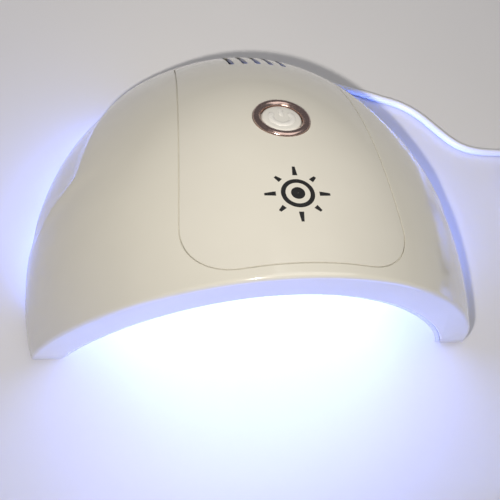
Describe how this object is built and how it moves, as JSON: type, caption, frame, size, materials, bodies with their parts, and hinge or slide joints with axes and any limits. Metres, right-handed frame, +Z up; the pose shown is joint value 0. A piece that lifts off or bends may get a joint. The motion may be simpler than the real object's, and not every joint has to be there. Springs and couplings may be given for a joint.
{
  "type": "uv curing lamp",
  "caption": "Table-top arched lamp that cures light-sensitive gel on a hand placed under its front opening, with a push button on top and a cord with a wall adapter.",
  "frame": {"origin": "bottom centre of the lamp's bounding box without its cord, on the surface that the rubber feet stand on", "axes": "+Z up, the open arch faces -Y, +X to the right of someone facing the open arch's front from -Y"},
  "size_m": [0.302, 0.1659, 0.0827],
  "materials": {
    "shell_white": "gloss",
    "panel_white": "gloss",
    "liner_white": "satin gloss",
    "rose_metal": "polished metallic rose-bronze",
    "button_white": "satin",
    "board_green": "solder mask",
    "board_white": "white solder mask",
    "part_black": "matte",
    "connector_white": "matte",
    "steel": "nickel-plated",
    "led_lens": "clear lens over a violet emitter",
    "rubber_grey": "matte",
    "lead_red": "wire insulation",
    "cord_white": "satin"
  },
  "bodies": {
    "root": {"adapter_prong_left": "steel", "adapter_prong_right": "steel", "adapter_strain_relief": "cord_white", "board_screw_left": "steel", "board_screw_right": "steel", "button_ring": "rose_metal", "control_board": "board_green", "control_chip": "part_black", "cord_coil": "cord_white", "cord_tie": "part_black", "dc_jack": "part_black", "dc_plug": "cord_white", "hand_sensor": "part_black", "inner_liner": "liner_white", "jack_connector": "connector_white", "jack_pin": "steel", "lead_jack": "lead_red", "lead_strip_front": "lead_red", "lead_strip_middle": "lead_red", "led_01": "led_lens", "led_02": "led_lens", "led_03": "led_lens", "led_04": "led_lens", "led_05": "led_lens", "led_06": "led_lens", "led_07": "led_lens", "led_08": "led_lens", "led_09": "led_lens", "led_10": "led_lens", "led_11": "led_lens", "led_12": "led_lens", "led_13": "led_lens", "led_14": "led_lens", "led_15": "led_lens", "led_strip_front": "board_white", "led_strip_middle": "board_white", "led_strip_rear": "board_white", "liner_screw_front_left": "steel", "liner_screw_front_right": "steel", "liner_screw_rear_left": "steel", "liner_screw_rear_right": "steel", "outer_shell": "shell_white", "plug_barrel": "steel", "plug_strain_relief": "cord_white", "power_adapter": "cord_white", "power_cord": "cord_white", "rubber_foot_front_left": "rubber_grey", "rubber_foot_front_right": "rubber_grey", "rubber_foot_rear_left": "rubber_grey", "rubber_foot_rear_right": "rubber_grey", "smoothing_capacitor": "steel", "strip_connector": "connector_white", "tact_switch": "part_black", "top_panel": "panel_white"},
    "button": {"power_button": "button_white", "switch_plunger": "part_black"}
  },
  "joints": [
    {"name": "button_press", "type": "slide", "parent": "root", "child": "button", "axis": [0, -0.2013, -0.9795], "range_m": [0, 0.0007], "stiffness_N_per_m": 1200}
  ]
}
